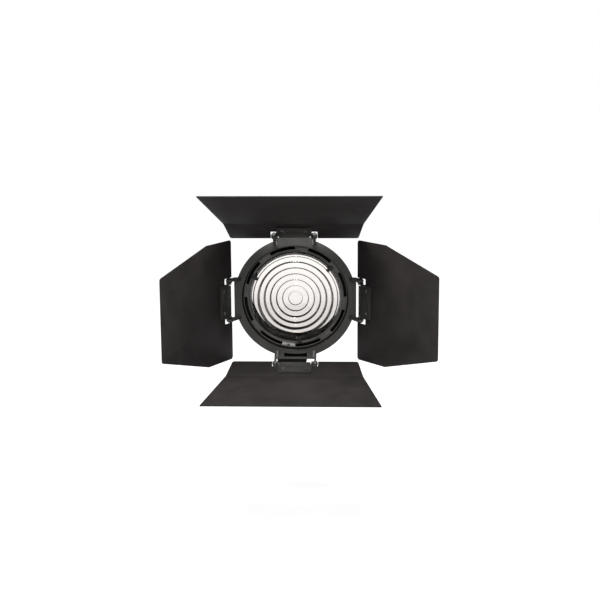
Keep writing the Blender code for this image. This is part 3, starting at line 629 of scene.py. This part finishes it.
def lens_cell():
    """Lens, carriage tube, housing, gasket and follower pins."""
    body = "lens_carriage"
    bm = bmesh.new()
    loops = []
    profile = lens_profile()
    for r, t in profile[:-1]:
        loops.append([bm.verts.new((x, -t, z)) for x, z in circle(0, 0, r, RING_SEGMENTS)])
    for here, there in zip(loops, loops[1:]):
        for i in range(RING_SEGMENTS):
            j = (i + 1) % RING_SEGMENTS
            bm.faces.new((here[i], here[j], there[j], there[i]))
    tip = bm.verts.new((0, -profile[-1][1], 0))
    for i in range(RING_SEGMENTS):
        bm.faces.new((loops[-1][i], loops[-1][(i + 1) % RING_SEGMENTS], tip))
    bm.faces.new(loops[0])
    lens = add_object("fresnel_lens_look", bm, Matrix.Translation((0, 0, -LENS_DROP)), 14)
    finish_piece(lens, body, "lens_glass", ["fresnel_lens"])
    lens.data.materials.append(MATERIALS["inside_black"])
    for face in lens.data.polygons:
        centre = face.center
        if math.hypot(centre.x, centre.z + LENS_DROP * MM) > BLACKENED_RIM_R * MM:
            face.material_index = 1

    bore, outer, flange, floor, back = 70.5, 73.6, 91.5, 53.0, 50.0
    turned_piece("carriage_tube_look", rectangle(bore, outer, CARRIAGE_REAR, back - 0.3), body,
                 "cast_black", ["carriage_tube"])
    outline = [(bore, back), (flange, back), (flange, floor), (CELL_R, floor), (CELL_R, CELL_FRONT),
               (CELL_R - 1.9, CELL_FRONT), (CELL_R - 1.9, floor), (bore, floor)]
    turned_piece("lens_housing_look", outline, body, "cast_black", ["lens_housing"],
                 material="inside_black")
    turned_piece("lens_gasket_look", rectangle(71.0, LENS_R, floor + 0.3, LENS_BACK - 0.3), body,
                 "rubber_black", ["lens_gasket"], 0.1)
    for i, angle in enumerate(spaced(3, 90)):
        bm = bmesh.new()
        pin = [(2.2, 70.7), (2.5, 71.1), (2.5, 79.3), (2.1, 79.8)]
        rod(bm, pin, facing(Vector((0, -PIN_FORWARD, 0)), polar(1, angle, 0)), 24)
        finish_piece(add_object(f"follower_pin_{i + 1}_look", bm), body, "bright_steel",
                     [f"follower_pin_{i + 1}"])
    lens_bezel(body)


def lens_bezel(body):
    """Vented bezel with its lip, screws, three lens clips and the bright clip."""
    front, rear = BEZEL_FRONT, BEZEL_FRONT - 2.5
    bezel_r, vent_in, vent_out = 85.7, 79.4, 84.5
    vent_span = math.radians(29.5)
    holes = [circle(0, 0, BEZEL_BORE_R, RING_SEGMENTS)]
    holes += [band(vent_in, vent_out, middle, vent_span, 0.8, 16, 3) for middle in spaced(8, 15)]
    bm = bmesh.new()
    slab(bm, circle(0, 0, bezel_r, RING_SEGMENTS), holes, rear, front, TO_FRONT)
    plate = add_object("lens_bezel_look", bm)
    bevel(plate, 0.3, 2)
    finish_piece(plate, body, "moulded_black", ["lens_bezel"])
    lip = [(BEZEL_BORE_R, 58.3), (BEZEL_BORE_R + 1.9, 58.3), (BEZEL_BORE_R + 1.9, 64.6),
           (BEZEL_BORE_R + 0.5, 64.6), (BEZEL_BORE_R, 64.1)]
    turned_piece("bezel_lip", lip, body, "moulded_black", (), 0.25)
    places = [polar(82.4, math.radians(a), front) for a in (81.5, 171.5, 351.5)]
    place_screws("bezel_screw", SCREW_M2, places, FORWARD, body, "black_screw",
                 [f"bezel_screw_{i}" for i in (1, 2, 3)])
    hook = [(67.5, front + 1.9), (76.8, front + 1.9), (76.8, front + 0.3), (79.0, front + 0.3),
            (79.0, front + 3.1), (67.5, front + 3.1)]
    for i, middle in enumerate(math.radians(a) for a in (40, 154, 275)):
        bm = bmesh.new()
        revolve(bm, rounded(hook, [0.4, 0.5, 0.2, 0.2, 1.0, 0.4], 3), 6,
                middle - math.radians(2.4), math.radians(4.8))
        finish_piece(add_object(f"lens_clip_{i + 1}_look", bm), body, "bracket_paint",
                     [f"lens_clip_{i + 1}"])
    middle, span = math.radians(261.5), math.radians(15)
    shape = band(78.2, 84.8, middle, span, 1.2, 10, 4)
    bm = bmesh.new()
    slab(bm, shape, [], front + 0.3, front + 1.5, TO_FRONT)
    clip = add_object("bezel_clip_look", bm)
    bevel(clip, 0.2, 2)
    finish_piece(clip, body, "bright_steel", ["bezel_clip"])
    place_screws("bezel_clip_screw", SCREW_M2, [polar(81.6, middle, front + 1.5)], FORWARD, body,
                 "black_screw", ["bezel_clip_screw"])


# ------------------------------------------------------------------ door ring

def hinge_frame(turn):
    """Plane of an ear: local X radial, local Y forward of the ring, local Z along the pivot."""
    base = Matrix(((1, 0, 0, 0), (0, -1, 0, -RING_FRONT), (0, 0, -1, 0), (0, 0, 0, 1)))
    return Matrix.Rotation(-math.radians(turn), 4, "Y") @ base


def ring_outline():
    """Round plate with four square lugs, the bottom one longer."""
    lug_turn = math.asin(LUG_HALF / RING_R)
    points = []
    for quarter in range(4):
        base = quarter * math.pi / 2
        along = Vector((math.cos(base), math.sin(base)))
        across = Vector((-math.sin(base), math.cos(base)))
        reach = BOTTOM_LUG_R if quarter == 3 else RING_R
        corners = [along * reach + across * side * LUG_HALF for side in (-1, 1)]
        points += [tuple(c) for c in corners]
        points += arc(0, 0, RING_R, base + lug_turn, base + math.pi / 2 - lug_turn, 28)
    return points


def ear_outline():
    points = [(EAR_FOOT, EAR_SINK), (RING_R - 0.3, EAR_SINK)]
    points += arc(PIVOT_RADIAL, PIVOT_FORWARD, EAR_END_R, math.radians(-25), math.radians(145), 20)
    points.append((EAR_FOOT, 0.5))
    return points


def door_ring():
    """Ring plate with its ears, collar and retainer; the lock and the pivots follow."""
    body = "door_ring"
    window_half, window_r, window_edge = math.radians(11.6), 94.0, 99.4
    window = arc(0, 0, window_r, -math.pi / 2 - window_half, -math.pi / 2 + window_half, 14)
    window += [(window[-1][0], -window_edge), (window[0][0], -window_edge)]
    bm = bmesh.new()
    slab(bm, ring_outline(), [circle(0, 0, RING_BORE_R, RING_SEGMENTS), window],
         RING_FRONT - RING_THICK, RING_FRONT, TO_FRONT)
    plate = add_object("door_ring_plate_look", bm)
    ears = bmesh.new()
    hole = [circle(PIVOT_RADIAL, PIVOT_FORWARD, 2.35, 20)]
    foot = [(EAR_FOOT, EAR_SINK), (FOOT_END, EAR_SINK), (FOOT_END, FOOT_HIGH), (EAR_FOOT, 0.5)]
    for turn, _ in SIDES.values():
        for side in (-1, 1):
            edges = sorted((side * (LUG_HALF - EAR_THICK), side * LUG_HALF))
            slab(ears, ear_outline(), hole, edges[0], edges[1], hinge_frame(turn))
    cut(plate, ears, "UNION")
    feet = bmesh.new()
    for turn, _ in SIDES.values():
        for side in (-1, 1):
            edges = sorted((side * LEAF_EAR_IN, side * (LUG_HALF - 1.5)))
            slab(feet, foot, [], edges[0], edges[1], hinge_frame(turn))
    cut(plate, feet, "UNION")
    bevel(plate, 0.35, 2)
    finish_piece(plate, body, "cast_black", ["door_ring_plate"])
    # painted highlight strips on the top ears
    painted_ear_highlights(body)

    bore, wall, step = 88.8, 92.2, 53.4
    collar_front, collar_rear = 70.7, 49.6
    outline = [(bore, step), (wall, step), (wall, collar_rear), (COLLAR_R, collar_rear),
               (COLLAR_R, 57.6), (COLLAR_R - 0.6, 58.2), (COLLAR_R - 0.6, 59.4), (COLLAR_R, 60.0),
               (COLLAR_R, collar_front), (bore, collar_front)]
    turned_piece("guide_collar_look", outline, body, "anodised_black", ["guide_collar"], 0.4)
    retainer = rectangle(84.0, COLLAR_R, RETAINER_REAR, RETAINER_FRONT)
    turned_piece("ring_retainer_look", retainer, body, "cast_black", ["ring_retainer"], 0.5)
    places = [polar(93.6, a, RETAINER_REAR) for a in spaced(6)]
    place_screws("retainer_screw", SCREW_M2, places, BACKWARD, body, "black_screw")
    lock_parts(body)
    pivots(body)


def painted_ear_highlights(body):
    """Painted highlight: a bright steel strip along the inner slope of the top ears' feet only, where
    the edge highlight shows.
    """
    highlight_outline = [(EAR_FOOT - 0.15, 0.55), (EAR_FOOT + 0.1, 0.35), (FOOT_END, FOOT_HIGH - 0.15),
            (FOOT_END, FOOT_HIGH + 0.1)]
    for i, side in enumerate((-1, 1)):
        edges = sorted((side * (LEAF_EAR_IN - 0.2), side * (LEAF_EAR_IN + 1.6)))
        bm = bmesh.new()
        slab(bm, highlight_outline, [], edges[0], edges[1], hinge_frame(SIDES["top"][0]))
        strip = add_object(f"ear_edge_{i + 1}", bm)
        bevel(strip, 0.06, 1)
        # the bright steel stands in for the edge highlight; the other ears have none
        finish_piece(strip, body, "bright_steel")


def lock_parts(body):
    """Lock block on the ring, and the stud and lever that turn in it."""
    block = [(-20.0, -69.0), (20.0, -69.0), (20.0, -57.0), (-20.0, -57.0)]
    bm = bmesh.new()
    top, bottom = high("lock_block").z, low("lock_block").z
    slab(bm, rounded(block, 2.0, 4), [circle(STUD_X, -STUD_FORWARD, 3.2)], bottom, top)
    piece = add_object("lock_block_look", bm)
    bevel(piece, 0.4)
    # the moulded block wears the darker painted-shade black
    finish_piece(piece, body, "moulded_black", ["lock_block"], "painted_shade_black")
    place_screws("lock_guide_screw", SCREW_M2, [Vector((22.3, -RING_FRONT, -94.6))], FORWARD, body,
                 "black_screw", ["lock_guide_screw"])
    body = "ring_lock"
    bm = bmesh.new()
    stud = facing(Vector((STUD_X, -STUD_FORWARD, 0)), (0, 0, -1))
    rod(bm, [(2.6, 88.5), (2.6, 101.0)], stud, 24)
    finish_piece(add_object("ring_lock_stud_look", bm), body, "bright_steel", ["ring_lock_stud"])
    lever_low, lever_high = low("ring_lock_lever"), high("ring_lock_lever")
    x0, x1 = lever_low.x, lever_high.x
    z0, z1 = lever_low.z, lever_high.z
    outline = [(x0, z1), (x1, z1), (x1 - 0.6, z0 + 4.5), (x1 - 3.6, z0), (x0 + 1, z0)]
    bm = bmesh.new()
    slab(bm, rounded(outline, [0.8, 1.2, 1.5, 1.5, 1.2], 4), [], -lever_high.y, -lever_low.y, TO_FRONT)
    lever = add_object("ring_lock_lever_look", bm)
    bevel(lever, 0.7, 3)
    # the lever wears the same darkened painted-shade black
    finish_piece(lever, body, "moulded_black", ["ring_lock_lever"], "painted_shade_black")


def pivots(body):
    """Shoulder screws, washers and nuts of the eight hinge ears."""
    for name, (turn, _) in SIDES.items():
        plane = hinge_frame(turn)
        centre = plane @ Vector((PIVOT_RADIAL, PIVOT_FORWARD, 0))
        for i, side in enumerate((-1, 1)):
            outward = (plane.to_3x3() @ Vector((0, 0, side))).normalized()
            seat = centre + outward * (LUG_HALF + 0.05)
            screw = f"pivot_screw_{name}_{i + 1}"
            place_screws(screw, SCREW_PIVOT, [seat], outward, body, "black_screw", [screw],
                         "pivot_black")
            start = LEAF_EAR_IN + LEAF_EAR_THICK + 0.15
            pierced_piece(f"pivot_washer_{name}_{i + 1}",
                          circle(PIVOT_RADIAL, PIVOT_FORWARD, 4.8, 32),
                          circle(PIVOT_RADIAL, PIVOT_FORWARD, 2.3, 32),
                          (side * start, side * (start + 1.2)), plane, body, 0.2, "washer")
            pierced_piece(f"pivot_nut_{name}_{i + 1}",
                          circle(PIVOT_RADIAL, PIVOT_FORWARD, 3.5, 6),
                          circle(PIVOT_RADIAL, PIVOT_FORWARD, 2.1, 24),
                          (side * (LEAF_EAR_IN - 0.15), side * (LEAF_EAR_IN - 2.6)), plane, body,
                          0.25)


# --------------------------------------------------------------------- leaves

def leaf_frame(side):
    """Local X along the hinge, local Y outward along the leaf, local Z to the beam side."""
    turn, tilt = SIDES[side]
    tip = math.radians(tilt)
    outward = Vector((math.cos(tip), -math.sin(tip), 0))
    across = Vector((0, 0, -1))
    base = Matrix((across, outward, across.cross(outward))).transposed().to_4x4()
    pivot = Vector((PIVOT_RADIAL, -RING_FRONT - PIVOT_FORWARD, 0))
    return Matrix.Rotation(-math.radians(turn), 4, "Y") @ Matrix.Translation(pivot) @ base


def slice_across(bm, places, axis):
    """Add edge loops where a sheet will bend, so that the bend is round."""
    for place in places:
        geometry = list(bm.verts) + list(bm.edges) + list(bm.faces)
        point = Vector((0, 0, 0))
        point[axis] = place
        normal = Vector((0, 0, 0))
        normal[axis] = 1.0
        bmesh.ops.bisect_plane(bm, geom=geometry, dist=1e-5, plane_co=point, plane_no=normal)


def bend(bm, axis, start, radius, angle, towards, steps=6):
    """Bend a sheet about its middle plane; axis 0 or 1 is the direction it runs along."""
    length = radius * angle
    sign = 1.0 if start >= 0 else -1.0
    slice_across(bm, [start + sign * length * i / steps for i in range(steps + 1)], axis)
    for vert in bm.verts:
        along = (vert.co[axis] - start) * sign
        if along <= 0:
            continue
        turn = min(along / radius, angle)
        beyond = max(along - length, 0.0)
        depth = radius - vert.co.z * towards
        forward = depth * math.sin(turn) + beyond * math.cos(turn)
        lift = radius - depth * math.cos(turn) + beyond * math.sin(turn)
        vert.co[axis] = start + sign * forward
        vert.co.z = lift * towards


def leaf_outline(end, corners, radii):
    """Half an outline on the right, mirrored, with the notches beside the hinge."""
    notch = [(NOTCH_IN, TAB_START), (NOTCH_IN, end), (NOTCH_OUT, end), (NOTCH_OUT, LEAF_START)]
    right = notch + corners
    left = [(-x, v) for x, v in reversed(right)]
    half = [0.8, 1.2, 1.2, 1.5] + radii
    return rounded(right + left, half + half[::-1], 6)


def leaf_sheet(side):
    """Flat side leaf, or top or bottom leaf with a fold along it."""
    folded = side in ("top", "bottom")
    if folded:
        corners = [(FOLD_START_HALF, LEAF_START), (FOLD_HALF, FOLD_AT), (FOLD_TIP_HALF, FOLD_TIP)]
        end = NOTCH_END_BOTTOM if side == "bottom" else NOTCH_END
        outline = leaf_outline(end, corners, [4.5, 0, 1.5])
    else:
        corners = [(SIDE_HALF, LEAF_START), (SIDE_HALF, SIDE_SHOULDER), (SIDE_TIP_HALF, SIDE_TIP)]
        outline = leaf_outline(NOTCH_END, corners, [4.5, 6.0, 4.5])
    bm = bmesh.new()
    holes = [circle(x, BRACKET_SCREW, 2.0, 20) for x in (-BRACKET_SCREW_HALF, BRACKET_SCREW_HALF)]
    slab(bm, outline, holes, -SHEET / 2, SHEET / 2)
    if folded:
        radius = 5.0
        bend(bm, 1, FOLD_AT - radius * math.tan(FOLD_ANGLE / 2), radius, FOLD_ANGLE, 1.0, 5)
    piece = add_object(f"leaf_{side}_look", bm, leaf_frame(side))
    bevel(piece, 0.22, 2)
    finish_piece(piece, "door_" + side, "leaf_paint", ["leaf_" + side])


def bracket(side):
    """One bent sheet: a plate on the leaf and an ear at each end for the pivots."""
    ear_middle = LEAF_EAR_IN + LEAF_EAR_THICK / 2
    radius = 1.7
    bend_at = ear_middle - radius
    pivot_at = bend_at + radius * math.pi / 2 + BRACKET_MIDDLE - radius
    lip_half = 25.0
    ear = arc(pivot_at, 0, 5.2, math.radians(-115), math.radians(40), 16)
    right = [(lip_half, -1.0), (lip_half, 3.5), (bend_at, 3.5), (bend_at + 1.2, -3.2)] + ear
    right += [(pivot_at + 1.5, EAR_SHOULDER), (bend_at + 1.0, EAR_SHOULDER + 0.6),
              (bend_at - 0.6, BRACKET_END - 1.0), (bend_at - 1.6, BRACKET_END)]
    left = [(-x, v) for x, v in reversed(right)]
    radii = [1.0, 0.8, 0.6, 0.5] + [0.0] * len(ear) + [1.0, 0.6, 0.6, 1.2]
    holes = [circle(x, BRACKET_SCREW, 2.0, 20) for x in (-BRACKET_SCREW_HALF, BRACKET_SCREW_HALF)]
    holes += [circle(x, 0, 2.4, 20) for x in (-pivot_at, pivot_at)]
    bm = bmesh.new()
    slab(bm, rounded(right + left, radii + radii[::-1], 4), holes,
         -BRACKET_THICK / 2, BRACKET_THICK / 2)
    bend(bm, 0, bend_at, radius, math.pi / 2, -1.0)
    bend(bm, 0, -bend_at, radius, math.pi / 2, -1.0)
    matrix = leaf_frame(side) @ Matrix.Translation((0, 0, BRACKET_MIDDLE))
    piece = add_object(f"leaf_bracket_{side}_look", bm, matrix)
    bevel(piece, 0.25, 2)
    finish_piece(piece, "door_" + side, "bracket_paint", ["leaf_bracket_" + side])


def bracket_fasteners(side):
    """Two screws through bracket and leaf, with nuts behind the leaf."""
    plane = leaf_frame(side)
    inward = plane.to_3x3() @ Vector((0, 0, 1))
    top = BRACKET_MIDDLE + BRACKET_THICK / 2
    across = (-BRACKET_SCREW_HALF, BRACKET_SCREW_HALF)
    places = [plane @ Vector((x, BRACKET_SCREW, top)) for x in across]
    place_screws("bracket_screw_" + side, SCREW_M3, places, inward, "door_" + side, "black_screw",
                 [f"bracket_screw_{side}_{i}" for i in (1, 2)])
    for i, x in enumerate(across):
        pierced_piece(f"bracket_nut_{side}_{i + 1}", circle(x, BRACKET_SCREW, 3.2, 6),
                      circle(x, BRACKET_SCREW, 1.6, 20), (-SHEET / 2 - 2.4, -SHEET / 2 - 0.05),
                      plane, "door_" + side, 0.25)


# ---------------------------------------------------------------------- stage

def stage():
    """Pale floor and a world that is white to look at but lights the object less."""
    floor_half, floor_height, floor_glow = 4000, -420, 0.92
    lighting_level, seen_level = 0.12, 1.0
    floor_material = coated("floor_paint", (0.30, 0.30, 0.30), 0.7, 0.1, 60, 0.02, mottle=0.01)
    shader = shader_of(floor_material)
    shader.inputs["Emission Color"].default_value = (1, 1, 1, 1)
    shader.inputs["Emission Strength"].default_value = floor_glow
    bm = bmesh.new()
    corners = rectangle(-floor_half, floor_half, -floor_half, floor_half)
    bm.faces.new([bm.verts.new((x, y, floor_height)) for x, y in corners])
    floor = add_object("floor", bm)
    floor.data.materials.append(floor_material)

    world = bpy.data.worlds.new("studio")
    bpy.context.scene.world = world
    world.use_nodes = True
    tree = world.node_tree
    back = tree.nodes["Background"]
    path = tree.nodes.new("ShaderNodeLightPath")
    seen = tree.nodes.new("ShaderNodeMath")
    seen.operation = "MAXIMUM"
    tree.links.new(path.outputs["Is Camera Ray"], seen.inputs[0])
    tree.links.new(path.outputs["Is Transmission Ray"], seen.inputs[1])
    level = tree.nodes.new("ShaderNodeMapRange")
    level.inputs["To Min"].default_value = lighting_level
    level.inputs["To Max"].default_value = seen_level
    tree.links.new(seen.outputs[0], level.inputs["Value"])
    tree.links.new(level.outputs["Result"], back.inputs["Strength"])
    back.inputs["Color"].default_value = (1, 1, 1, 1)


def softbox(name, place, target, size, power):
    """Rectangular area light that faces its target."""
    light = bpy.data.lights.new(name, "AREA")
    light.shape = "RECTANGLE"
    light.size, light.size_y = size
    light.energy = power
    lamp = bpy.data.objects.new(name, light)
    bpy.context.scene.collection.objects.link(lamp)
    lamp.location = place
    lamp.rotation_euler = (Vector(target) - Vector(place)).to_track_quat("-Z", "Y").to_euler()


def camera():
    """Twelve degrees above the beam axis, a little to the right, looking back at the lens."""
    data = bpy.data.cameras.new("camera")
    data.lens = 78.0
    data.sensor_width = 36.0
    data.clip_start = 0.05
    data.clip_end = 50.0
    eye = bpy.data.objects.new("camera", data)
    bpy.context.scene.collection.objects.link(eye)
    elevation, azimuth, roll, distance = 0.21, 0.045, -0.0074, 2.132
    centre = Vector((0, -RING_FRONT * MM, 0))
    back = Vector((math.sin(azimuth) * math.cos(elevation), -math.cos(azimuth) * math.cos(elevation),
                   math.sin(elevation)))
    turn = (-back).to_track_quat("-Z", "Y").to_matrix().to_4x4() @ Matrix.Rotation(roll, 4, "Z")
    eye.matrix_world = Matrix.Translation(centre + back * distance) @ turn
    data.shift_x = 4.84 / IMAGE_WIDTH
    data.shift_y = -1.77 / IMAGE_WIDTH
    bpy.context.scene.camera = eye


SCREW_M3 = screw_template(head_r=2.75, head=1.6, shank_r=1.5, shank=5.0, socket_r=1.25)
SCREW_M2 = screw_template(head_r=2.2, head=1.2, shank_r=1.1, shank=2.6, socket_r=0.95)
SCREW_PIVOT = screw_template(head_r=4.5, head=2.65, shank_r=2.0, shank=8.4, socket_r=1.7)

rear_mount()
zoom_control()
lens_cell()
door_ring()
for side in SIDES:
    leaf_sheet(side)
    bracket(side)
    bracket_fasteners(side)
stage()
# places, targets and sizes in metres, power in watts
softbox("overhead", place=(-0.04, -1.08, 1.74), target=(0, -0.1, 0), size=(0.3, 0.8), power=122)
softbox("strip", place=(-0.05, -1.55, 1.35), target=(0, -0.08, -0.02), size=(0.14, 1.1), power=28)
softbox("front_right", place=(1.9, -2.0, 0.7), target=(0, -0.1, 0), size=(1.2, 1.4), power=5)
camera()

bpy.context.scene.view_settings.view_transform = "Standard"
